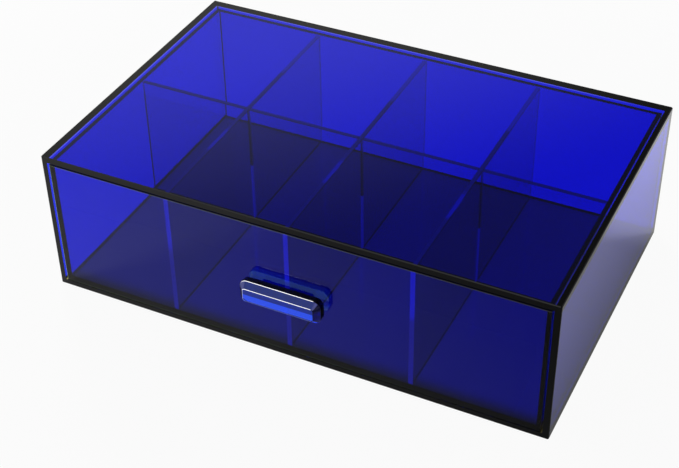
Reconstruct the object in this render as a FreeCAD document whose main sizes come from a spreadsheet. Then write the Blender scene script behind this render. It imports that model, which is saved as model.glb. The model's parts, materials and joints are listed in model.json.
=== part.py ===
import FreeCAD, Part
import os
import Sketcher

# Tea bag drawer box. Clear sheets, bonded edge to edge, make a case that is open at the front and a
# drawer that slides in it. Half-lapped dividers part the drawer into cells for tea sachets, and a
# bevelled plate on a short neck is the drawer's pull.
#
# Millimetres. X runs across the front, Y from the front to the back, and Z up. The origin is the
# middle of the case's footprint, on the surface that the box stands on. The case's open front and
# the drawer front lie in the plane Y = -case_depth / 2, and the pull stands out of it.
#
# Every piece is a body whose own frame sits at the middle of its sheet or block, so its profile is
# drawn about the origin and its pad is symmetric. The body's placement puts it in the box.

# Driving sizes: alias, value, what it is.
SIZES = [
    ("case_width", 330, "outside of the case along X"),
    ("case_depth", 211, "outside of the case along Y, without the pull"),
    ("case_height", 99, "outside of the case along Z"),
    ("case_sheet", 4, "thickness of the case's sheets"),
    ("corner_radius", 1, "rounding of the case's four upright corners"),
    ("edge_break", 0.5, "chamfer on the outer edges of the case and the back of the pull"),
    ("drawer_sheet", 3, "thickness of the drawer's sheets"),
    ("drawer_break", 0.3, "chamfer on the drawer's and dividers' open edges"),
    ("side_gap", 1.2, "clearance between the drawer and each side of the case"),
    ("top_gap", 1.2, "clearance over the drawer"),
    ("back_gap", 1.2, "clearance behind the closed drawer"),
    ("glide_gap", 0.3, "clearance under the drawer"),
    ("divider_sheet", 3, "thickness of the dividers"),
    ("divider_drop", 0.5, "how far the dividers end below the drawer's rim"),
    ("divider_end_gap", 0.3, "clearance at each end of a divider"),
    ("columns", 4, "cells across the drawer"),
    ("lap_gap", 0.1, "clearance on each side of a half-lap slot, and at its floor"),
    ("handle_width", 53, "pull plate along X"),
    ("handle_height", 16, "pull plate along Z"),
    ("handle_thickness", 8, "pull plate along Y"),
    ("handle_corner", 5, "corner radius of the pull plate"),
    ("handle_bevel", 3.5, "bevel round the front of the pull plate"),
    ("neck_width", 34, "neck along X"),
    ("neck_height", 7, "neck along Z"),
    ("neck_reach", 3.2, "finger gap between the drawer front and the pull plate"),
    ("neck_corner", 1.5, "corner radius of the neck"),
]

# Sizes and places that follow from the driving sizes: alias, formula.
FITS = [
    ("front", "-Sizes.case_depth / 2"),
    ("inner_width", "Sizes.case_width - 2 * Sizes.case_sheet"),
    ("wall_height", "Sizes.case_height - 2 * Sizes.case_sheet"),
    ("drawer_width", "inner_width - 2 * Sizes.side_gap"),
    ("drawer_floor", "Sizes.case_sheet + Sizes.glide_gap"),
    ("drawer_rim", "Sizes.case_height - Sizes.case_sheet - Sizes.top_gap"),
    ("drawer_height", "drawer_rim - drawer_floor"),
    ("drawer_middle", "(drawer_rim + drawer_floor) / 2"),
    ("drawer_end", "Sizes.case_depth / 2 - Sizes.case_sheet - Sizes.back_gap"),
    ("cell_front", "front + Sizes.drawer_sheet"),
    ("cell_end", "drawer_end - Sizes.drawer_sheet"),
    ("cell_floor", "drawer_floor + Sizes.drawer_sheet"),
    ("cells_width", "drawer_width - 2 * Sizes.drawer_sheet"),
    ("cells_depth", "cell_end - cell_front"),
    ("cells_middle", "(cell_end + cell_front) / 2"),
    ("divider_height", "drawer_rim - Sizes.divider_drop - cell_floor"),
    ("divider_middle", "cell_floor + divider_height / 2"),
    ("column_pitch", "(cells_width + Sizes.divider_sheet) / Sizes.columns"),
    ("first_divider", "(1 - Sizes.columns / 2) * column_pitch"),
    ("lap_width", "Sizes.divider_sheet + 2 * Sizes.lap_gap"),
    ("lap_depth", "divider_height / 2 + Sizes.lap_gap"),
]

ON_FACE = 0.001  # an edge nearer than this to a side of its solid's box lies on that side


def fill_sheet(sheet, rows, prefix):
    """Write each row's value into column B under its alias, as text, with what it is beside it."""
    for number, row in enumerate(rows, start=1):
        sheet.set(f"A{number}", row[0])
        sheet.set(f"B{number}", prefix + str(row[1]))
        sheet.setAlias(f"B{number}", row[0])
        if len(row) > 2:
            sheet.set(f"C{number}", row[2])


def new_body(doc, name, x="0", y="0", z="0"):
    """Add the body of one piece, with the middle of its sheet at x, y, z in the box."""
    body = doc.addObject("PartDesign::Body", name)
    body.Label = name
    for axis, place in (("x", x), ("y", y), ("z", z)):
        body.setExpression(f"Placement.Base.{axis}", place)
    return body


def new_sketch(body, name, plane):
    """Add a sketch on one of the body's own origin planes, such as XY_Plane."""
    sketch = body.newObject("Sketcher::SketchObject", f"{body.Name}_{name}")
    support = next(item for item in body.Origin.OriginFeatures if item.Role == plane)
    sketch.AttachmentSupport = [(support, "")]
    sketch.MapMode = "FlatFace"
    return sketch


def draw_rectangle(sketch, width, height):
    """Draw a rectangle of four lines with its two sizes bound, free to be placed."""
    corners = [FreeCAD.Vector(x, y, 0) for x, y in ((-1, -1), (1, -1), (1, 1), (-1, 1))]
    for side in range(4):
        sketch.addGeometry(Part.LineSegment(corners[side], corners[(side + 1) % 4]))
    for side in range(4):
        sketch.addConstraint(Sketcher.Constraint("Coincident", side, 2, (side + 1) % 4, 1))
        direction = "Vertical" if side % 2 else "Horizontal"
        sketch.addConstraint(Sketcher.Constraint(direction, side))
    for name, kind, line, size in (("width", "DistanceX", 0, width), ("height", "DistanceY", 1, height)):
        index = sketch.addConstraint(Sketcher.Constraint(kind, line, 1, line, 2, 2.0))
        sketch.renameConstraint(index, name)
        sketch.setExpression(f"Constraints.{name}", size)


def centre_rectangle(sketch):
    """Hold the rectangle's middle on the sketch's origin."""
    sketch.addConstraint(Sketcher.Constraint("Symmetric", 0, 1, 2, 1, -1, 1))


def place_corner(sketch, corner, left, height):
    """Hold one of the rectangle's corners at a distance left of and above the origin."""
    for name, kind, distance in (("left", "DistanceX", left), ("level", "DistanceY", height)):
        ends = (corner, 1, -1, 1) if name == "left" else (-1, 1, corner, 1)
        index = sketch.addConstraint(Sketcher.Constraint(kind, *ends, 1.0))
        sketch.renameConstraint(index, name)
        sketch.setExpression(f"Constraints.{name}", distance)


def pad_rectangle(body, plane, width, height, thickness):
    """Make a plain sheet: a centred rectangle, padded half its thickness to each side."""
    profile = new_sketch(body, "profile", plane)
    draw_rectangle(profile, width, height)
    centre_rectangle(profile)
    pad = body.newObject("PartDesign::Pad", f"{body.Name}_sheet")
    pad.Profile = profile
    pad.SideType = "Symmetric"
    pad.setExpression("Length", thickness)
    body.Document.recompute()
    return pad


def edges_on(feature, *sides):
    """Name the feature's edges that lie on all the given sides of its box, such as XMin and ZMax."""
    box = feature.Shape.BoundBox
    names = []
    for number, edge in enumerate(feature.Shape.Edges, start=1):
        reach = edge.BoundBox
        flat = all(
            abs(getattr(reach, side[0] + end) - getattr(box, side)) < ON_FACE
            for side in sides
            for end in ("Min", "Max")
        )
        if flat:
            names.append(f"Edge{number}")
    return names


def round_edges(body, base, radius, *pairs):
    """Fillet the edges where each pair of sides meets."""
    edges = [name for pair in pairs for name in edges_on(base, *pair)]
    fillet = body.newObject("PartDesign::Fillet", f"{body.Name}_corners")
    fillet.Base = (base, edges)
    fillet.setExpression("Radius", radius)
    body.Document.recompute()
    return fillet


def chamfer_rim(body, base, size, *sides):
    """Chamfer every edge on each of the given sides."""
    edges = sorted({name for side in sides for name in edges_on(base, side)})
    chamfer = body.newObject("PartDesign::Chamfer", f"{body.Name}_{'_'.join(sides)}")
    chamfer.Base = (base, edges)
    chamfer.setExpression("Size", size)
    body.Document.recompute()
    return chamfer


def chamfer_edges(body, base, size, *pairs):
    """Chamfer the edges where each pair of sides meets."""
    edges = [name for pair in pairs for name in edges_on(base, *pair)]
    chamfer = body.newObject("PartDesign::Chamfer", f"{body.Name}_edges")
    chamfer.Base = (base, edges)
    chamfer.setExpression("Size", size)
    body.Document.recompute()
    return chamfer


# ---- case ------------------------------------------------------------------------------------


def make_case_plate(doc, name, level, outer_side):
    """The case's bottom or top: the whole footprint, with rounded corners and a broken outer rim."""
    body = new_body(doc, name, z=level)
    sheet = pad_rectangle(body, "XY_Plane", "Sizes.case_width", "Sizes.case_depth", "Sizes.case_sheet")
    upright = [(x, y) for x in ("XMin", "XMax") for y in ("YMin", "YMax")]
    plate = round_edges(body, sheet, "Sizes.corner_radius", *upright)
    chamfer_rim(body, plate, "Sizes.edge_break", outer_side)
    return body


def make_case_side(doc, name, sign, outer_side):
    """A side of the case, between its bottom and top, with its two outer uprights rounded."""
    place = f"{sign} * (Sizes.case_width - Sizes.case_sheet) / 2"
    body = new_body(doc, name, x=place, z="Sizes.case_height / 2")
    sheet = pad_rectangle(body, "YZ_Plane", "Sizes.case_depth", "Fits.wall_height", "Sizes.case_sheet")
    radius = "min(Sizes.corner_radius; Sizes.case_sheet - Sizes.edge_break)"
    round_edges(body, sheet, radius, (outer_side, "YMin"), (outer_side, "YMax"))
    return body


def make_case_back(doc):
    """The back of the case, between its sides, bottom and top."""
    place = "(Sizes.case_depth - Sizes.case_sheet) / 2"
    body = new_body(doc, "case_back", y=place, z="Sizes.case_height / 2")
    pad_rectangle(body, "XZ_Plane", "Fits.inner_width", "Fits.wall_height", "Sizes.case_sheet")
    return body


# ---- drawer ----------------------------------------------------------------------------------


def make_drawer_front(doc):
    """The drawer front: over the ends of the drawer's sides, with its outer rim broken."""
    body = new_body(doc, "drawer_front", y="Fits.front + Sizes.drawer_sheet / 2", z="Fits.drawer_middle")
    sheet = pad_rectangle(body, "XZ_Plane", "Fits.drawer_width", "Fits.drawer_height", "Sizes.drawer_sheet")
    chamfer_rim(body, sheet, "Sizes.drawer_break", "YMin")
    return body


def make_drawer_side(doc, name, sign):
    """A side of the drawer, from behind its front to its end, with its top edges broken."""
    place = f"{sign} * (Fits.drawer_width - Sizes.drawer_sheet) / 2"
    middle = "(Fits.cell_front + Fits.drawer_end) / 2"
    body = new_body(doc, name, x=place, y=middle, z="Fits.drawer_middle")
    length = "Fits.drawer_end - Fits.cell_front"
    sheet = pad_rectangle(body, "YZ_Plane", length, "Fits.drawer_height", "Sizes.drawer_sheet")
    chamfer_edges(body, sheet, "Sizes.drawer_break", ("XMin", "ZMax"), ("XMax", "ZMax"))
    return body


def make_drawer_back(doc):
    """The back of the drawer, between its sides, with its top edges broken."""
    body = new_body(doc, "drawer_back", y="Fits.drawer_end - Sizes.drawer_sheet / 2", z="Fits.drawer_middle")
    sheet = pad_rectangle(body, "XZ_Plane", "Fits.cells_width", "Fits.drawer_height", "Sizes.drawer_sheet")
    chamfer_edges(body, sheet, "Sizes.drawer_break", ("YMin", "ZMax"), ("YMax", "ZMax"))
    return body


def make_drawer_bottom(doc):
    """The bottom of the drawer, inside its front, back and sides."""
    level = "Fits.drawer_floor + Sizes.drawer_sheet / 2"
    body = new_body(doc, "drawer_bottom", y="Fits.cells_middle", z=level)
    pad_rectangle(body, "XY_Plane", "Fits.cells_width", "Fits.cells_depth", "Sizes.drawer_sheet")
    return body


# ---- dividers --------------------------------------------------------------------------------


def cut_slot(body, plane, left, level, corner):
    """Cut a half-lap slot right through a divider. corner is the slot's corner held at left, level."""
    before = body.Shape.Volume
    outline = new_sketch(body, "slot_outline", plane)
    draw_rectangle(outline, "Fits.lap_width", "Fits.lap_depth")
    place_corner(outline, corner, left, level)
    slot = body.newObject("PartDesign::Pocket", f"{body.Name}_slot")
    slot.Profile = outline
    slot.SideType = "Symmetric"
    slot.setExpression("Length", "2 * Sizes.divider_sheet")
    body.Document.recompute()
    if body.Shape.Volume > before - 1:
        raise RuntimeError(f"{body.Label}: the slot cut nothing")
    return slot


def make_long_divider(doc):
    """The divider along X, slotted from above where each cross divider drops on to it."""
    body = new_body(doc, "long_divider", y="Fits.cells_middle", z="Fits.divider_middle")
    length = "Fits.cells_width - 2 * Sizes.divider_end_gap"
    sheet = pad_rectangle(body, "XZ_Plane", length, "Fits.divider_height", "Sizes.divider_sheet")
    chamfer_edges(body, sheet, "Sizes.drawer_break", ("YMin", "ZMax"), ("YMax", "ZMax"))
    left = "Fits.lap_width / 2 - Fits.first_divider"
    slot = cut_slot(body, "XZ_Plane", left, "Fits.divider_height / 2", corner=3)
    row = body.newObject("PartDesign::LinearPattern", "long_divider_slots")
    row.Originals = [slot]
    row.Direction = (slot.Profile[0], ["H_Axis"])
    row.Mode = "Spacing"
    row.setExpression("Offset", "Fits.column_pitch")
    row.setExpression("Occurrences", "Sizes.columns - 1")
    body.Tip = row
    doc.recompute()
    return body


def make_cross_divider(doc, number):
    """A divider along Y, slotted from below to straddle the long divider."""
    place = f"Fits.first_divider + {number - 1} * Fits.column_pitch"
    body = new_body(doc, f"cross_divider_{number}", x=place, y="Fits.cells_middle", z="Fits.divider_middle")
    length = "Fits.cells_depth - 2 * Sizes.divider_end_gap"
    sheet = pad_rectangle(body, "YZ_Plane", length, "Fits.divider_height", "Sizes.divider_sheet")
    chamfer_edges(body, sheet, "Sizes.drawer_break", ("XMin", "ZMax"), ("XMax", "ZMax"))
    top_of_slot = "Fits.lap_depth - Fits.divider_height / 2"
    cut_slot(body, "YZ_Plane", "Fits.lap_width / 2", top_of_slot, corner=3)
    return body


# ---- pull ------------------------------------------------------------------------------------


def make_handle_neck(doc):
    """The spacer that stands the pull plate off the drawer front."""
    body = new_body(doc, "handle_neck", y="Fits.front - Sizes.neck_reach / 2", z="Fits.drawer_middle")
    block = pad_rectangle(body, "XZ_Plane", "Sizes.neck_width", "Sizes.neck_height", "Sizes.neck_reach")
    lengthways = [(x, z) for x in ("XMin", "XMax") for z in ("ZMin", "ZMax")]
    round_edges(body, block, "Sizes.neck_corner", *lengthways)
    return body


def make_handle_plate(doc):
    """The pull plate: rounded corners, a wide bevel round its front and a broken back rim."""
    place = "Fits.front - Sizes.neck_reach - Sizes.handle_thickness / 2"
    body = new_body(doc, "handle_plate", y=place, z="Fits.drawer_middle")
    sizes = ("Sizes.handle_width", "Sizes.handle_height", "Sizes.handle_thickness")
    block = pad_rectangle(body, "XZ_Plane", *sizes)
    lengthways = [(x, z) for x in ("XMin", "XMax") for z in ("ZMin", "ZMax")]
    plate = round_edges(body, block, "Sizes.handle_corner", *lengthways)
    bevelled = chamfer_rim(body, plate, "Sizes.handle_bevel", "YMin")
    chamfer_rim(body, bevelled, "Sizes.edge_break", "YMax")
    return body


# ---- whole box -------------------------------------------------------------------------------


def check_document(doc, bodies):
    """Stop if any object failed to compute or any piece isn't one sound solid."""
    for item in doc.Objects:
        if "Invalid" in item.State or "Error" in item.State:
            raise RuntimeError(f"{item.Label} failed: {item.State}")
    for body in bodies:
        shape = body.Shape
        if shape.isNull() or not shape.isValid() or len(shape.Solids) != 1:
            raise RuntimeError(f"{body.Label} is not one sound solid")


def main():
    doc = FreeCAD.newDocument("TeaBagDrawerBox")
    sizes = doc.addObject("Spreadsheet::Sheet", "Sizes")
    fill_sheet(sizes, SIZES, "")
    doc.recompute()
    fits = doc.addObject("Spreadsheet::Sheet", "Fits")
    fill_sheet(fits, FITS, "=")
    doc.recompute()

    bodies = [
        make_case_plate(doc, "case_bottom", "Sizes.case_sheet / 2", "ZMin"),
        make_case_plate(doc, "case_top", "Sizes.case_height - Sizes.case_sheet / 2", "ZMax"),
        make_case_side(doc, "case_left_side", "-1", "XMin"),
        make_case_side(doc, "case_right_side", "1", "XMax"),
        make_case_back(doc),
        make_drawer_front(doc),
        make_drawer_side(doc, "drawer_left_side", "-1"),
        make_drawer_side(doc, "drawer_right_side", "1"),
        make_drawer_back(doc),
        make_drawer_bottom(doc),
        make_long_divider(doc),
        make_handle_neck(doc),
        make_handle_plate(doc),
    ]
    bodies += [make_cross_divider(doc, number) for number in range(1, int(sizes.columns))]

    doc.recompute()
    check_document(doc, bodies)
    os.makedirs("parts", exist_ok=True)
    for body in bodies:
        body.Shape.exportStep(f"parts/{body.Label}.step")
        print(f"{body.Label}: {body.Shape.Volume / 1000:.2f} cm3")


main()
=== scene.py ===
"""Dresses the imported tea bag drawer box: clear blue acrylic sheets with dark cut edges, a polished
bevelled pull, and a pale studio floor."""

import json
import math

import bmesh
import bpy
from mathutils import Matrix, Vector

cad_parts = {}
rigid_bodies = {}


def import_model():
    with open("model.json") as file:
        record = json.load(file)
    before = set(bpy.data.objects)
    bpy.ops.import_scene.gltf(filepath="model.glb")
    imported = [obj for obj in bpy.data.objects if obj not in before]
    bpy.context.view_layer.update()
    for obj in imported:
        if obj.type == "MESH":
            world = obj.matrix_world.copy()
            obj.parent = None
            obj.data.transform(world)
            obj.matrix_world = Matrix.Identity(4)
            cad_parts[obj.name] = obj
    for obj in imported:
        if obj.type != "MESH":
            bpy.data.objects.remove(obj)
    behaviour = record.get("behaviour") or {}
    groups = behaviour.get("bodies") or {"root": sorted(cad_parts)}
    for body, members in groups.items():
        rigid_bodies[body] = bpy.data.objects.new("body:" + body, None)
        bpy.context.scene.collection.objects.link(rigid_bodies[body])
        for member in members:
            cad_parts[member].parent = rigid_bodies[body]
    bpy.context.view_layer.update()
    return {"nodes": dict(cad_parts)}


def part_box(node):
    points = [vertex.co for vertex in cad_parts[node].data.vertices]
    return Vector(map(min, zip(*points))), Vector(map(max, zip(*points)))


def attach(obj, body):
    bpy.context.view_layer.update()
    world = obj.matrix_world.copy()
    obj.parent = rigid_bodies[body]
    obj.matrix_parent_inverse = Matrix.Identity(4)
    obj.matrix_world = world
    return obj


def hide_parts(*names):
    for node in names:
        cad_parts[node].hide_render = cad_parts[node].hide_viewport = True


bl_info = {
    "name": "Tea Bag Drawer Box",
    "version": (1, 0, 0),
    "blender": (4, 5, 0),
    "location": "View3D > Sidebar > Drawer Box",
    "description": "Finishes a clear acrylic drawer box for tea bags and sets up its studio",
    "category": "Object",
}

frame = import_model()
NODES = frame["nodes"]

CASE_SHEETS = ("case_bottom", "case_top", "case_left_side", "case_right_side", "case_back")
DRAWER_SHEETS = ("drawer_front", "drawer_left_side", "drawer_right_side", "drawer_back", "drawer_bottom")
DIVIDERS = ("long_divider", "cross_divider_1", "cross_divider_2", "cross_divider_3")
FROSTED_HIGHLIGHT, SHEEN_BEVEL, SANDED_AND_GLOW = 1, 2, 3  # slots of the pull plate's other finishes, after the clear one: frosted lines with a painted highlight, a bevel with a painted sheen and shade, and a sanded back with a painted glow

# Lengths, in metres.
TOUCH = 0.00005  # reach within which two sheets count as bonded
NEAR = 0.00002  # reach within which two places count as one
NECK_GAP = 0.00002  # gap at each end of the pull's neck, so that no face lies on another
FILLET_HIGHLIGHT = 0.001  # width of the strip along the inside of a bonded joint that carries a painted highlight, standing for light caught by a bead of cement
ARRIS = 0.0005  # width of the flat that polishing leaves round the drawer's front, which carries a painted highlight
RIPPLE = 0.00002  # height of the ripples in an acrylic face and of the marks on a cut edge
FLOOR_DROP = 0.0001  # how far the floor lies below the box

# Finishes.
ACRYLIC_IOR = 1.49
SQUARE_ON = 0.9  # a face whose direction has more than this along an axis lies square to it
STRAIGHT = 0.999  # a direction with more than this along an axis runs along it
CREASE = math.radians(25)  # edges of the pull that turn by more than this stay crisp
MARKS_ALONG, MARKS_ACROSS = 1400, 60  # saw marks to a metre, along a cut edge and across it
BLACK, WHITE = (0, 0, 0), (1, 1, 1)
DIVIDER_END = (0, 0.02, 0.6)  # share of light that the ends of a cross divider let through
CLEAR_END = (0, 0, 0.006)  # share of light that the clear bevel lets through at its ends
SHEEN_RIGHT_SHADE = (0, 0, 0.1)  # painted shade: dark colour of the bevel at its right end
BACK_PLAIN = (0, 0, 0.15)  # share of light that the plate's back lets through where it is polished
BACK_SANDED = (0.6, 0.7, 1.0)  # and where it is sanded
BACK_GLOW = (0.12, 0.15, 0.2)  # painted glow that the polished part of the back gives off as emission
ARRIS_PAINTED_SHADE = (0, 0, 0.02)  # colour of an edge line where it catches no light: painted shade where the line faces sideways
ARRIS_PAINTED_GLOW = 1.25  # strength of the painted highlight that the edge lines give off as emission
CORNER_STEPS, BREAK_STEPS, LINE_STEPS, NECK_STEPS = 14, 3, 2, 6  # segments of the pull's bevels

# Studio. Places are in metres, and the lens and the sensor in millimetres.
FLOOR_GREY = (0.3, 0.3, 0.3, 1)  # the part of the floor's colour that takes light and shadow
AO_REACH = 0.15  # distance within which the box darkens the floor, a painted shadow found by ambient occlusion
FRONT_STRIP = (-0.106, -0.1)  # strip of floor under the box's front, along Y
FRONT_FADE = (0.006, 0.013)  # widths over which the painted black shadow there fades, forwards and backwards
RIGHT_STRIP = (0.13, 0.16)  # strip of floor inside the box's right side, along X
KEY_PLACE, KEY_SIZE = (-1.1, 1.05, 0.9), (0.5, 0.5)
TOP_PLACE, TOP_SIZE = (-0.45, -0.15, 1.4), (0.7, 0.3)
ROOM_LIGHT = 0.25  # strength of the surroundings on matt faces
SENSOR_WIDTH, LENS = 36.0, 77.003
CLIP_NEAR, CLIP_FAR = 0.05, 50
CAMERA_PLACE = (0.317247, -0.67026258, 0.59851897)
CAMERA_RIGHT = (0.89947684, 0.43675398, -0.01368897)
CAMERA_UP = (-0.25930337, 0.55871564, 0.78778081)
CAMERA_FORWARD = (-0.35171464, 0.70504099, -0.61580355)
CLEAR_BOUNCES, MIRROR_BOUNCES = 32, 12  # enough to look through every sheet of the box


class Link:
    """An output of a node. Operators on it add Math nodes."""

    def __init__(self, graph, socket):
        self.graph, self.socket = graph, socket

    def maths(self, operation, *terms):
        """A Math node on links and numbers."""
        return self.graph.node("ShaderNodeMath", {"operation": operation}, dict(enumerate(terms)))

    def output(self, name):
        """Another output of the same node."""
        return Link(self.graph, self.socket.node.outputs[name])

    def __add__(self, other):
        return self.maths("ADD", self, other)

    def __radd__(self, other):
        return self.maths("ADD", other, self)

    def __sub__(self, other):
        return self.maths("SUBTRACT", self, other)

    def __rsub__(self, other):
        return self.maths("SUBTRACT", other, self)

    def __mul__(self, other):
        return self.maths("MULTIPLY", self, other)

    def __rmul__(self, other):
        return self.maths("MULTIPLY", other, self)

    def __gt__(self, other):
        return self.maths("GREATER_THAN", self, other)

    def __lt__(self, other):
        return self.maths("LESS_THAN", self, other)

    def __abs__(self):
        return self.maths("ABSOLUTE", self)

    def __or__(self, other):
        return self.maths("MAXIMUM", self, other)

    def between(self, low, high):
        """1 between low and high, and 0 outside them."""
        return (self > low) * (self < high)

    def ramp(self, low, high, bottom=0.0, top=1.0):
        """A smooth rise from bottom at low to top at high."""
        return self.graph.node(
            "ShaderNodeMapRange",
            {"interpolation_type": "SMOOTHSTEP"},
            {"Value": self, "From Min": low, "From Max": high, "To Min": bottom, "To Max": top},
        )


class Graph:
    """The node tree of a material or world, emptied and ready for new nodes."""

    def __init__(self, owner):
        owner.use_nodes = True
        self.tree = owner.node_tree
        self.tree.nodes.clear()

    def node(self, kind, settings=None, sockets=None, output=0):
        """Adds a node, sets it up, fills its sockets with values or links, and gives one output."""
        made = self.tree.nodes.new(kind)
        for name, value in (settings or {}).items():
            setattr(made, name, value)
        for key, value in (sockets or {}).items():
            if isinstance(value, Link):
                self.tree.links.new(value.socket, made.inputs[key])
            else:
                made.inputs[key].default_value = value
        return Link(self, made.outputs[output] if made.outputs else None)

    def point(self):
        """The place of a point, in metres, in the piece's own space."""
        return self.node("ShaderNodeTexCoord", output="Object")

    def parts(self, vector):
        """X, Y and Z of a vector."""
        split = self.node("ShaderNodeSeparateXYZ", sockets={0: vector})
        return [split.output(axis) for axis in "XYZ"]

    def facing(self):
        """X, Y and Z of the surface's direction, in the piece's own space."""
        return self.parts(self.node("ShaderNodeTexCoord", output="Normal"))

    def noise(self, point, scale, detail=2):
        """Soft random patches about 1 / scale metres across."""
        return self.node("ShaderNodeTexNoise",
                         sockets={"Vector": point, "Scale": scale, "Detail": detail})

    def mix(self, share, first, second):
        """The first colour where share is 0, and the second where it is 1."""
        ends = [end if isinstance(end, Link) else (*end, 1) for end in (first, second)]
        return self.node("ShaderNodeMix", {"data_type": "RGBA"},
                         {"Factor": share, 6: ends[0], 7: ends[1]}, output=2)

    def bump(self, height):
        """The surface's direction, tilted by a height in metres."""
        return self.node("ShaderNodeBump", sockets={"Strength": 1.0, "Distance": 1.0, "Height": height})

    def finish(self, surface):
        """Sends a shader to the material's output."""
        self.node("ShaderNodeOutputMaterial", sockets={"Surface": surface})

    def finish_acrylic(self, sockets):
        """Ends the material with an acrylic surface."""
        self.finish(self.node("ShaderNodeBsdfPrincipled", sockets={"IOR": ACRYLIC_IOR, **sockets}))


def new_material(name):
    """A material, and its node tree to fill."""
    material = bpy.data.materials.new(name)
    return material, Graph(material)


def thin_axis(node):
    """The axis along which a sheet is thinnest."""
    low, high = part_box(node)
    return min(range(3), key=lambda axis: high[axis] - low[axis])


def bonds(node, others):
    """The rectangles on a sheet's two big faces where other sheets are bonded to it."""
    axis = thin_axis(node)
    low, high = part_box(node)
    found = []
    for other in others:
        if other == node:
            continue
        near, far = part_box(other)
        touch = [(max(low[i], near[i]) - TOUCH, min(high[i], far[i]) + TOUCH) for i in range(3)]
        sides = [b - a for a, b in touch]
        if min(sides) > 0 and sides[axis] < 4 * TOUCH:
            found.append(touch)
    return found


def sheet_masks(place, facing, node, group):
    """Where a sheet shows its cut edges, where others are bonded to its big faces, and the strips along
    those bonds that carry a painted highlight, standing for light caught by beads of cement."""
    axis = thin_axis(node)
    cut = abs(facing[axis]) < SQUARE_ON
    bonded = cement_highlight_mask = cut * 0.0
    for rectangle in bonds(node, group):
        inside = wide = 1.0
        for i, (low, high) in enumerate(rectangle):
            reach = 0.0 if i == axis else FILLET_HIGHLIGHT
            inside = place[i].between(low, high) * inside
            wide = place[i].between(low - reach, high + reach) * wide
        bonded = bonded | inside
        cement_highlight_mask = cement_highlight_mask | wide
    return cut, bonded, cement_highlight_mask - bonded


def front_arris_highlight(place):
    """Painted highlight on the narrow flat round the drawer's front: strongest down the left, and fading to
    the right.
    """
    low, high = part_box("drawer_front")
    level = (place[2] < low.z + ARRIS) | (place[2] > high.z - ARRIS)
    upright = place[0] < low.x + ARRIS
    return (place[1] < low.y + TOUCH) * (upright | level * place[0].ramp(-0.05, 0.15, 0.3, 0.03))


def saw_marks(graph, point, axis):
    """Fine lines across a cut edge, as a saw and a polishing wheel leave them."""
    stretch = Vector([MARKS_ALONG] * 3)
    stretch[axis] = MARKS_ACROSS
    marks = graph.node("ShaderNodeVectorMath", {"operation": "MULTIPLY"}, {0: point, 1: stretch})
    return graph.node("ShaderNodeTexNoise", sockets={"Vector": marks, "Scale": 1.0, "Detail": 3.0})


def sheet_sockets(graph, point, marks, cut, colour, light):
    """Inputs of a clear sheet: faint smudges and ripples, and saw marks on the cut edges."""
    smudges = graph.noise(point, 18, detail=4).ramp(0.5, 0.8, 0.0, 0.02)
    ripples = graph.noise(point, 9) * RIPPLE + marks * cut * RIPPLE
    return {
        "Base Color": colour,
        "Emission Color": light,
        "Emission Strength": 1.0,
        "Roughness": smudges + marks.ramp(0.3, 0.7, 0.06, 0.2) * cut,
        "Transmission Weight": 1.0,
        "Normal": graph.bump(ripples),
    }


def acrylic_sheet(node, group, tint, edge_colour, bond_colour, shine_colour):
    """Clear coloured sheet with dark, sawn and polished edges, dark strips where it is bonded, and a
    painted highlight, given off as emission, on the arris of the drawer's front and along the bonds."""
    material, graph = new_material(node + "_acrylic")
    point = graph.point()
    place = graph.parts(point)
    cut, bonded, cement_highlight_mask = sheet_masks(place, graph.facing(), node, group)
    if node == "drawer_front":
        shine = front_arris_highlight(place)
    else:
        # Painted highlight along the bonds, fading towards the box's right side.
        shine = cement_highlight_mask * place[0].ramp(0.1, 0.16, 1.0, 0.12)
    marks = saw_marks(graph, point, thin_axis(node))
    colour = graph.mix(bonded, graph.mix(cut, tint, edge_colour), bond_colour)
    light = graph.mix(shine, BLACK, shine_colour)
    graph.finish_acrylic(sheet_sockets(graph, point, marks, cut, colour, light))
    return material


def divider_acrylic(node, tint, edge_colour, glow, top_glow):
    """Clear divider with navy edges, and a painted violet glow, given off as emission, in the edges that
    face the front and up.
    """
    material, graph = new_material(node + "_acrylic")
    point = graph.point()
    place = graph.parts(point)
    facing = graph.facing()
    axis = thin_axis(node)
    cut = abs(facing[axis]) < SQUARE_ON
    front = (abs(facing[1]) > SQUARE_ON) * float(axis == 0)
    top = (abs(facing[2]) > SQUARE_ON) * (place[2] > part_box(node)[1].z - TOUCH)
    marks = saw_marks(graph, point, axis)
    sawn = marks.ramp(0.2, 0.9, 0.75, 1.0)
    colour = graph.mix(front, graph.mix(cut, tint, edge_colour), DIVIDER_END)
    # Painted light: the sawn edges that face the front and up give off a glow.
    light = graph.mix(front * sawn, graph.mix(top * sawn, BLACK, top_glow), glow)
    graph.finish_acrylic(sheet_sockets(graph, point, marks, cut, colour, light))
    return material


def pull_acrylic(tint, rim):
    """Clear block whose rim and ends look black from the long way that light takes inside it."""
    material, graph = new_material("pull_acrylic")
    point = graph.point()
    facing = graph.facing()
    ends = abs(facing[0]) > 0.5
    rim_faces = abs(facing[1]) < 0.3
    graph.finish_acrylic({
        "Base Color": graph.mix(rim_faces, graph.mix(ends, tint, CLEAR_END), rim),
        "Roughness": graph.noise(point, 60, detail=4).ramp(0.5, 0.8, 0.0, 0.03),
        "Transmission Weight": 1.0,
        "Normal": graph.bump(graph.noise(point, 40) * RIPPLE),
    })
    return material


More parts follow.
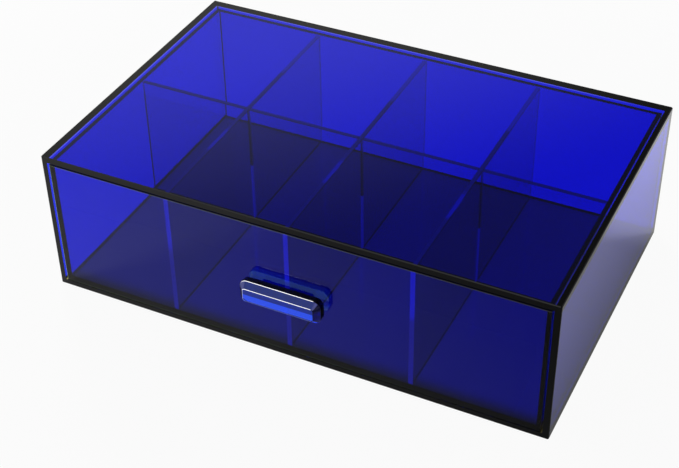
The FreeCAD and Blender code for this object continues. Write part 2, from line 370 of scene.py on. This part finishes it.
def clouded_bevel(colour, corner):
    """Polished bevel whose milky colour is a painted reflection of the bright surroundings, patchy at
    random, with a painted highlight where its corners turn to the sides and a painted shade at its right
    end.
    """
    material, graph = new_material("clouded_bevel")
    point = graph.point()
    facing = graph.facing()
    right_end = facing[0] > 0.5
    # Painted highlight: a paler colour where the bevel turns towards the sides at its corners.
    straight = facing[0].ramp(-0.45, -0.1) * facing[0].ramp(0.05, 0.4, 1.0, 0.0)
    cloud = graph.noise(point, 180, detail=4).ramp(0.3, 0.7, 0.6, 1.0)
    thin_sheen = [0.6 * part for part in colour]
    bevel_sheen = graph.mix(cloud, thin_sheen, graph.mix(straight, corner, colour))
    graph.finish_acrylic({
        "Base Color": graph.mix(right_end, bevel_sheen, SHEEN_RIGHT_SHADE),
        "Roughness": graph.noise(point, 90, detail=4).ramp(0.4, 0.7, 0.05, 0.15),
    })
    return material


def sanded_back(colour):
    """Back of the plate, sanded below the neck and from a little under the neck's top upwards. It gives off
    a painted glow, grainy and brighter where sanded and fainter where polished."""
    material, graph = new_material("sanded_back")
    point = graph.point()
    height = graph.parts(point)[2]
    low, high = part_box("handle_neck")
    grain = graph.noise(point, 1500, detail=3).ramp(0.3, 0.7, 0.8, 1.0)
    sanded = (height < low.z) | (height > high.z - 0.3 * (high.z - low.z))
    graph.finish_acrylic({
        "Base Color": graph.mix(sanded, BACK_PLAIN, BACK_SANDED),
        "Emission Color": graph.mix(sanded * grain, BACK_GLOW, colour),
        "Emission Strength": 1.0,
        "Roughness": 0.1,
        "Transmission Weight": 1.0,
    })
    return material


def frosted_arris(colour, low_colour):
    """Matt, finely chipped edge line with painted light: it gives off the bright colour where it faces up
    and the low colour where it faces down, and is painted dark where it faces the right or far to the left.
    """
    material, graph = new_material("frosted_arris")
    facing = graph.facing()
    chips = graph.noise(graph.point(), 2500, detail=3).ramp(0.35, 0.6, 0.7, 1.0)
    not_sideways = facing[0].ramp(0.0, 0.12, 1.0, 0.0) * facing[0].ramp(-0.9, -0.5)
    # Painted highlight and shade: how much light the line gives off follows which way it faces.
    painted_lit = facing[2].ramp(-0.1, 0.35, 0.6, 1.0) * not_sideways * chips
    painted_light_tone = graph.mix(facing[2].ramp(-0.2, 0.3), low_colour, colour)
    graph.finish_acrylic({
        "Base Color": graph.mix(painted_lit, ARRIS_PAINTED_SHADE, painted_light_tone),
        "Roughness": 0.35,
        "Emission Strength": ARRIS_PAINTED_GLOW,
        "Emission Color": graph.mix(painted_lit, BLACK, painted_light_tone),
    })
    return material


def deselect():
    """Leaves no object selected."""
    for thing in bpy.context.view_layer.objects:
        thing.select_set(False)


def enter_edit(piece):
    """Enters edit mode on a piece, with nothing selected."""
    bpy.context.view_layer.objects.active = piece
    bpy.ops.object.mode_set(mode="EDIT")
    bpy.ops.mesh.select_all(action="DESELECT")


def leave_edit():
    """Leaves edit mode, with round faces smooth and sharp edges crisp."""
    bpy.ops.object.mode_set(mode="OBJECT")
    bpy.ops.object.shade_smooth_by_angle(angle=CREASE)


def pick(piece, kind, test):
    """In edit mode, selects just the faces or edges that pass a test."""
    mesh = bmesh.from_edit_mesh(piece.data)
    bpy.ops.mesh.select_all(action="DESELECT")
    bpy.context.tool_settings.mesh_select_mode = (False, kind == "edges", kind == "faces")
    chosen = [part for part in getattr(mesh, kind) if test(part)]
    for part in chosen:
        part.select_set(True)
    mesh.select_flush_mode()
    bmesh.update_edit_mesh(piece.data)
    if not chosen:
        raise RuntimeError(f"no {kind} picked on {piece.name}")


def block(name, low, high, finishes):
    """A cuboid between two corners, its place in its mesh."""
    deselect()
    bpy.ops.mesh.primitive_cube_add(size=1, location=(low + high) / 2, scale=high - low)
    piece = bpy.context.object
    piece.name = name
    for finish in finishes:
        piece.data.materials.append(finish)
    bpy.ops.object.transform_apply(location=True, rotation=True, scale=True)
    return piece


def along(edge, axis):
    """True if an edge runs along an axis."""
    way = edge.verts[1].co - edge.verts[0].co
    return abs(way[axis]) > STRAIGHT * way.length


def lies_at(part, y):
    """True if a face or an edge lies in the plane at Y = y."""
    return all(abs(vertex.co.y - y) < NEAR for vertex in part.verts)


def finish_faces(piece, slot, test):
    """In edit mode, gives the faces that pass a test one of the piece's finishes."""
    pick(piece, "faces", test)
    piece.active_material_index = slot
    bpy.ops.object.material_slot_assign()


def pull_plate(look, finishes):
    """Rounded plate with a wide bevel round its front, and fine frosted lines along the bevel. The lines
    carry a painted highlight, the upper bevel a painted sheen, and the back a painted glow.
    """
    low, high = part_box("handle_plate")
    piece = block("pull_plate", low + Vector((0, look.bevel, 0)), high, finishes)
    shoulder, middle = low.y + look.bevel, (low.z + high.z) / 2

    def upper_bevel(face):
        return 0.5 < -face.normal.y < SQUARE_ON and face.calc_center_median().z > middle

    enter_edit(piece)
    pick(piece, "edges", lambda edge: along(edge, 1))
    bpy.ops.mesh.bevel(offset=look.corner, offset_type="OFFSET", segments=CORNER_STEPS)
    pick(piece, "faces", lambda face: lies_at(face, shoulder))
    bpy.ops.mesh.inset(thickness=look.bevel, depth=look.bevel)
    finish_faces(piece, SHEEN_BEVEL, upper_bevel)
    pick(piece, "edges", lambda edge: lies_at(edge, high.y))
    bpy.ops.mesh.bevel(offset=look.back_break, offset_type="OFFSET", segments=BREAK_STEPS)
    finish_faces(piece, SANDED_AND_GLOW, lambda face: face.normal.y > STRAIGHT)
    pick(piece, "edges", lambda edge: lies_at(edge, shoulder) or lies_at(edge, low.y))
    bpy.ops.mesh.bevel(
        offset=look.line / 2, offset_type="WIDTH", segments=LINE_STEPS, material=FROSTED_HIGHLIGHT)
    leave_edit()
    return piece


def pull_neck(look, finishes):
    """The short block that holds the plate off the drawer's front."""
    low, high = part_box("handle_neck")
    gap = Vector((0, NECK_GAP, 0))
    piece = block("pull_neck", low + gap, high - gap, finishes)
    enter_edit(piece)
    pick(piece, "edges", lambda edge: along(edge, 1))
    bpy.ops.mesh.bevel(offset=look.neck_corner, offset_type="OFFSET", segments=NECK_STEPS)
    leave_edit()
    return piece


def dress(node, material):
    """Gives a CAD piece its finish."""
    NODES[node].material_slots[0].material = material


class CaseLook(bpy.types.PropertyGroup):
    tint: bpy.props.FloatVectorProperty(
        name="Tint", description="Share of red, green and blue that one case sheet lets through",
        subtype="COLOR", size=3, min=0, max=1, default=(0.05, 0.08, 0.87))
    right_tint: bpy.props.FloatVectorProperty(
        name="Right side tint",
        description="Share of red, green and blue that the right side lets through",
        subtype="COLOR", size=3, min=0, max=1, default=(0.04, 0.06, 0.95))
    left_tint: bpy.props.FloatVectorProperty(
        name="Left side tint",
        description="Share of red, green and blue that the left side lets through",
        subtype="COLOR", size=3, min=0, max=1, default=(0.04, 0.06, 0.95))
    edge: bpy.props.FloatVectorProperty(
        name="Edge", description="Share of red, green and blue that a cut edge lets through",
        subtype="COLOR", size=3, min=0, max=1, default=(0.0, 0.0, 0.0))
    bond: bpy.props.FloatVectorProperty(
        name="Bond", description="Share of red, green and blue that a bonded strip lets through",
        subtype="COLOR", size=3, min=0, max=1, default=(0.0, 0.0, 0.0))
    # The cement colour is given off as light along the bonds, a painted highlight.
    fillet_highlight: bpy.props.FloatVectorProperty(
        name="Cement", description="Light that the bead of cement along a joint catches",
        subtype="COLOR", size=3, min=0, max=1, default=(0.3, 0.26, 0.1))


class DrawerLook(bpy.types.PropertyGroup):
    tint: bpy.props.FloatVectorProperty(
        name="Tint", description="Share of red, green and blue that one drawer sheet lets through",
        subtype="COLOR", size=3, min=0, max=1, default=(0.10, 0.15, 0.90))
    edge: bpy.props.FloatVectorProperty(
        name="Edge", description="Share of red, green and blue that a cut edge lets through",
        subtype="COLOR", size=3, min=0, max=1, default=(0.0, 0.0, 0.12))
    bond: bpy.props.FloatVectorProperty(
        name="Bond", description="Share of red, green and blue that a bonded strip lets through",
        subtype="COLOR", size=3, min=0, max=1, default=(0.0, 0.0, 0.35))
    front_edge: bpy.props.FloatVectorProperty(
        name="Front edge",
        description="Share of red, green and blue that the edges of the front and bottom let through",
        subtype="COLOR", size=3, min=0, max=1, default=(0.0, 0.0, 0.004))
    # The front arris colour is given off as light, a painted highlight.
    arris: bpy.props.FloatVectorProperty(
        name="Front arris", description="Light that the polished arris of the front catches",
        subtype="COLOR", size=3, min=0, max=1, default=(0.18, 0.25, 0.12))
    front_bond: bpy.props.FloatVectorProperty(
        name="Front bond",
        description="Share of red, green and blue that the strips behind the front let through",
        subtype="COLOR", size=3, min=0, max=1, default=(0.0, 0.0, 0.0))


class DividerLook(bpy.types.PropertyGroup):
    tint: bpy.props.FloatVectorProperty(
        name="Tint", description="Share of red, green and blue that one divider lets through",
        subtype="COLOR", size=3, min=0, max=1, default=(0.12, 0.17, 0.88))
    edge: bpy.props.FloatVectorProperty(
        name="Edge", description="Share of red, green and blue that a divider's edge lets through",
        subtype="COLOR", size=3, min=0, max=1, default=(0.02, 0.05, 0.85))
    # Both edge colours are given off as light, a painted glow.
    glow: bpy.props.FloatVectorProperty(
        name="Front edge", description="Light that leaves the edges facing the front",
        subtype="COLOR", size=3, min=0, max=1, default=(0.05, 0.03, 0.28))
    top_glow: bpy.props.FloatVectorProperty(
        name="Top edge", description="Light that leaves the edges facing up",
        subtype="COLOR", size=3, min=0, max=1, default=(0.01, 0.01, 0.16))


class PullLook(bpy.types.PropertyGroup):
    tint: bpy.props.FloatVectorProperty(
        name="Tint", description="Share of red, green and blue that the pull lets through",
        subtype="COLOR", size=3, min=0, max=1, default=(0.01, 0.03, 0.9))
    rim: bpy.props.FloatVectorProperty(
        name="Rim", description="Colour deep inside the pull's rim",
        subtype="COLOR", size=3, min=0, max=1, default=(0.0, 0.0, 0.0))
    # The bevel's two colours are a painted reflection of the bright surroundings, paler towards the corners
    # as a painted highlight.
    bevel_sheen: bpy.props.FloatVectorProperty(
        name="Bevel", description="Colour of the milky bloom in the bevel",
        subtype="COLOR", size=3, min=0, max=1, default=(0.002, 0.045, 0.5))
    bevel_sheen_corner: bpy.props.FloatVectorProperty(
        name="Bevel corner", description="Colour of the bloom towards the bevel's corners",
        subtype="COLOR", size=3, min=0, max=1, default=(0.3, 0.32, 0.95))
    # The back's colour is given off as light where the back is sanded, a painted glow.
    back: bpy.props.FloatVectorProperty(
        name="Back", description="Light that the plate's sanded back scatters",
        subtype="COLOR", size=3, min=0, max=1, default=(0.22, 0.46, 0.78))
    # The edge lines' two colours are given off as light, a painted highlight: the first where a line faces
    # up, the second where it faces down.
    arris: bpy.props.FloatVectorProperty(
        name="Edge lines", description="Colour of the frosted lines along the bevel",
        subtype="COLOR", size=3, min=0, max=1, default=(1.0, 1.0, 1.0))
    low_arris: bpy.props.FloatVectorProperty(
        name="Lower edge lines", description="Colour of the frosted lines below and beside the bevel",
        subtype="COLOR", size=3, min=0, max=1, default=(0.2, 0.28, 0.85))
    corner: bpy.props.FloatProperty(
        name="Corner", description="Corner radius of the plate", unit="LENGTH", default=0.005)
    bevel: bpy.props.FloatProperty(
        name="Bevel width", description="Width of the bevel round the plate's front", unit="LENGTH",
        default=0.0035)
    back_break: bpy.props.FloatProperty(
        name="Back edge", description="Rounding of the plate's back edge", unit="LENGTH", default=0.0005)
    line: bpy.props.FloatProperty(
        name="Line width", description="Width of the frosted lines", unit="LENGTH", default=0.0007)
    neck_corner: bpy.props.FloatProperty(
        name="Neck corner", description="Corner radius of the neck", unit="LENGTH", default=0.0015)


class StageLook(bpy.types.PropertyGroup):
    floor_size: bpy.props.FloatProperty(
        name="Floor size", description="Width of the floor", unit="LENGTH", default=8.0)
    floor_white: bpy.props.FloatProperty(
        name="Flat white", description="Share of the floor's colour that takes no shadow",
        subtype="FACTOR", min=0, max=1, default=0.95)
    # Colour of the painted shadow that takes the place of the floor's white under the box.
    floor_shadow: bpy.props.FloatVectorProperty(
        name="Floor under the box", description="Colour of the light that the sheets let down to the floor",
        subtype="COLOR", size=3, min=0, max=1, default=(0.0, 0.005, 0.22))
    key_power: bpy.props.FloatProperty(
        name="Key light", description="Power of the softbox behind the box", unit="POWER", default=36.0)
    top_power: bpy.props.FloatProperty(
        name="Top light", description="Power of the softbox overhead", unit="POWER", default=3.0)


class TEABOX_OT_case(bpy.types.Operator):
    """Give the five case sheets their acrylic"""
    bl_idname = "teabox.case"
    bl_label = "Case sheets"

    def execute(self, context):
        look = context.scene.teabox_case
        side_tints = {"case_left_side": look.left_tint, "case_right_side": look.right_tint}
        for node in CASE_SHEETS:
            tint = side_tints.get(node, look.tint)
            dress(node, acrylic_sheet(node, CASE_SHEETS, tint, look.edge, look.bond, look.fillet_highlight))
        return {"FINISHED"}


class TEABOX_OT_drawer(bpy.types.Operator):
    """Give the five drawer sheets their acrylic"""
    bl_idname = "teabox.drawer"
    bl_label = "Drawer sheets"

    def execute(self, context):
        look = context.scene.teabox_drawer
        group = DRAWER_SHEETS + DIVIDERS
        for node in DRAWER_SHEETS:
            edge = look.front_edge if node in ("drawer_front", "drawer_bottom") else look.edge
            # Only the front gets the painted arris highlight, and the other drawer sheets give off no
            # light.
            bond, shine = (look.front_bond, look.arris) if node == "drawer_front" else (look.bond, BLACK)
            dress(node, acrylic_sheet(node, group, look.tint, edge, bond, shine))
        return {"FINISHED"}


class TEABOX_OT_dividers(bpy.types.Operator):
    """Give the half-lapped dividers their acrylic"""
    bl_idname = "teabox.dividers"
    bl_label = "Dividers"

    def execute(self, context):
        look = context.scene.teabox_dividers
        for node in DIVIDERS:
            dress(node, divider_acrylic(node, look.tint, look.edge, look.glow, look.top_glow))
        return {"FINISHED"}


class TEABOX_OT_pull(bpy.types.Operator):
    """Model the bevelled pull and its neck, and give them their acrylic"""
    bl_idname = "teabox.pull"
    bl_label = "Pull"

    def execute(self, context):
        look = context.scene.teabox_pull
        finishes = [pull_acrylic(look.tint, look.rim), frosted_arris(look.arris, look.low_arris),
                    clouded_bevel(look.bevel_sheen, look.bevel_sheen_corner), sanded_back(look.back)]
        plate = pull_plate(look, finishes)
        neck = pull_neck(look, finishes[:1])
        for piece in (plate, neck):
            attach(piece, "drawer")
        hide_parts("handle_plate")
        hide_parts("handle_neck")
        return {"FINISHED"}


class TEABOX_OT_stage(bpy.types.Operator):
    """Lay the floor, hang the lights and set the camera"""
    bl_idname = "teabox.stage"
    bl_label = "Studio"

    def execute(self, context):
        look = context.scene.teabox_stage
        lay_floor(look)
        light_world(context.scene.world)
        key = softbox("key_softbox", KEY_PLACE, KEY_SIZE, look.key_power)
        key.visible_glossy = key.visible_transmission = False
        top = softbox("top_softbox", TOP_PLACE, TOP_SIZE, look.top_power)
        top.visible_transmission = False
        place_camera(context.scene)
        context.scene.view_settings.view_transform = "Standard"
        context.scene.cycles.max_bounces = CLEAR_BOUNCES
        context.scene.cycles.transmission_bounces = CLEAR_BOUNCES
        context.scene.cycles.glossy_bounces = MIRROR_BOUNCES
        return {"FINISHED"}


def lay_floor(look):
    """One flat sheet under the box."""
    deselect()
    bpy.ops.mesh.primitive_plane_add(size=look.floor_size, location=(0, 0, -FLOOR_DROP))
    bpy.ops.object.transform_apply(location=True, rotation=True, scale=True)
    floor = bpy.context.object
    floor.name = "floor"
    floor.data.materials.append(floor_material(look.floor_white, look.floor_shadow))


def place_camera(scene):
    """A long lens, from above the box's right front corner."""
    bpy.ops.object.camera_add()
    camera = bpy.context.object
    scene.camera = camera
    camera.data.sensor_width = SENSOR_WIDTH
    camera.data.lens = LENS
    camera.data.clip_start = CLIP_NEAR
    camera.data.clip_end = CLIP_FAR
    turn = Matrix((Vector(CAMERA_RIGHT), Vector(CAMERA_UP), -Vector(CAMERA_FORWARD))).transposed()
    camera.matrix_world = Matrix.Translation(CAMERA_PLACE) @ turn.to_4x4()


def softbox(name, place, size, power):
    """A soft rectangular lamp that points at the box."""
    bpy.ops.object.light_add(type="AREA", location=place)
    lamp = bpy.context.object
    lamp.name = name
    lamp.data.shape = "RECTANGLE"
    lamp.data.size, lamp.data.size_y = size
    lamp.data.energy = power
    lamp.rotation_euler = (-lamp.location).to_track_quat("-Z", "Y").to_euler()
    return lamp


def ways_of_seeing(graph):
    """Two shares, each 0 or 1: what the camera sees straight or through clear sheets, and what it
    sees mirrored."""
    path = graph.node("ShaderNodeLightPath", output="Is Camera Ray")
    mirrored = path.output("Glossy Depth") > 0.5
    through = path.output("Is Transmission Ray")
    return path | through * (1 - mirrored), path.output("Is Glossy Ray") | through * mirrored


def floor_material(flat, under):
    """Pale matt floor: most of its white is its own colour, and the rest takes light and shadow. Under the
    box its own white gives way to a painted shadow: dark blue, standing for the light that the blue sheets
    let down, and black in a strip under the front edge."""
    material, graph = new_material("pale_floor")
    point = graph.point()
    across, deep = graph.parts(point)[:2]
    open_sky = graph.node("ShaderNodeAmbientOcclusion", {"samples": 8}, {"Distance": AO_REACH},
                          output="AO")
    near, far = FRONT_STRIP
    painted_edge_shadow = deep.ramp(near - FRONT_FADE[0], near) * deep.ramp(far, far + FRONT_FADE[1], 1.0, 0.0)
    painted_shadow_colour = graph.mix(painted_edge_shadow, under, BLACK)
    white = graph.mix(open_sky.ramp(0.02, 0.15), painted_shadow_colour, WHITE)
    own = graph.node("ShaderNodeEmission", sockets={"Color": white, "Strength": 1.0})
    matt = graph.node("ShaderNodeBsdfDiffuse", sockets={"Color": FLOOR_GREY})
    reach = graph.node("ShaderNodeVectorMath", {"operation": "LENGTH"}, {0: point}, output="Value")
    plain, glossy = ways_of_seeing(graph)
    share = plain * reach.ramp(0.25, 0.9, flat, 1.0) + glossy * mirrored_floor(across, deep)
    graph.finish(graph.node("ShaderNodeMixShader", sockets={0: share, 1: matt, 2: own}))
    return material


def mirrored_floor(across, deep):
    """Share of the floor's white that polished faces mirror, graded by place as painted light and shade
    seen only in reflections. In front of the box it is faint, and fades towards the right, a painted shadow
    of the box. Elsewhere it rises towards the back, and on the right outwards too."""
    in_front = deep.ramp(*FRONT_STRIP, 1.0, 0.0)
    on_right = across.ramp(*RIGHT_STRIP)
    slant = across - 1.2 * (deep + 0.21)  # grows to the right and forwards
    before = slant.ramp(-0.3, 0.2, 0.31, 0.0) * in_front
    behind = deep.ramp(-0.1, 0.3, 0.0, 0.7) * (1 - on_right)
    outwards = across.ramp(0.16, 0.2, 0.18, 0.37)
    backwards = deep.ramp(0.08, 0.118, 0.0, 0.28) + deep.ramp(0.1, 0.26, 0.0, 0.26)
    beside = (outwards + backwards) * on_right * (1 - in_front)
    return before + behind + beside


def light_world(world):
    """White surroundings where the camera sees them, a plain grey room for matt faces, and for
    polished ones a low backdrop behind on the left, a high window on the left and a pale horizon."""
    if world is None:
        world = bpy.data.worlds.new("studio")
        bpy.context.scene.world = world
    graph = Graph(world)
    direction = graph.node("ShaderNodeTexCoord", output="Generated")

    def toward(*way):
        return graph.node("ShaderNodeVectorMath", {"operation": "DOT_PRODUCT"},
                          {0: direction, 1: way}, output="Value")

    backdrop = toward(-0.55, 0.55, -0.6).ramp(0.2, 0.36, 0.08, 0.45)
    window = toward(-0.6, -0.4, 0.7).ramp(0.55, 0.95, 0.0, 0.8)
    horizon = toward(0, 0, 1).ramp(0.1, 0.35, 0.5, 0.0)
    walls = backdrop | window | horizon
    plain, glossy = ways_of_seeing(graph)
    strength = glossy * walls + plain + (1 - (glossy | plain)) * ROOM_LIGHT
    background = graph.node("ShaderNodeBackground", sockets={"Color": (*WHITE, 1), "Strength": strength})
    graph.node("ShaderNodeOutputWorld", sockets={"Surface": background})


class TEABOX_PT_panel(bpy.types.Panel):
    """Sizes, colours and steps of the drawer box"""
    bl_idname = "TEABOX_PT_panel"
    bl_label = "Tea Bag Drawer Box"
    bl_space_type = "VIEW_3D"
    bl_region_type = "UI"
    bl_category = "Drawer Box"

    def draw(self, context):
        for step in STEPS:
            box = self.layout.box()
            look = getattr(context.scene, "teabox_" + step)
            for name in look.__annotations__:
                box.prop(look, name)
            box.operator("teabox." + step)


# A step's name is also that of its settings on the scene and of its operator.
STEPS = {"case": CaseLook, "drawer": DrawerLook, "dividers": DividerLook, "pull": PullLook,
         "stage": StageLook}
CLASSES = (*STEPS.values(), TEABOX_OT_case, TEABOX_OT_drawer, TEABOX_OT_dividers, TEABOX_OT_pull,
           TEABOX_OT_stage, TEABOX_PT_panel)


def register():
    """Adds the settings, the operators and the panel."""
    for made in CLASSES:
        bpy.utils.register_class(made)
    for step, look in STEPS.items():
        setattr(bpy.types.Scene, "teabox_" + step, bpy.props.PointerProperty(type=look))


def unregister():
    """Takes them all away again."""
    for step in STEPS:
        delattr(bpy.types.Scene, "teabox_" + step)
    for made in reversed(CLASSES):
        bpy.utils.unregister_class(made)


def main():
    """Runs every step."""
    register()
    for step in STEPS:
        getattr(bpy.ops.teabox, step)()


if __name__ == "__main__":
    main()
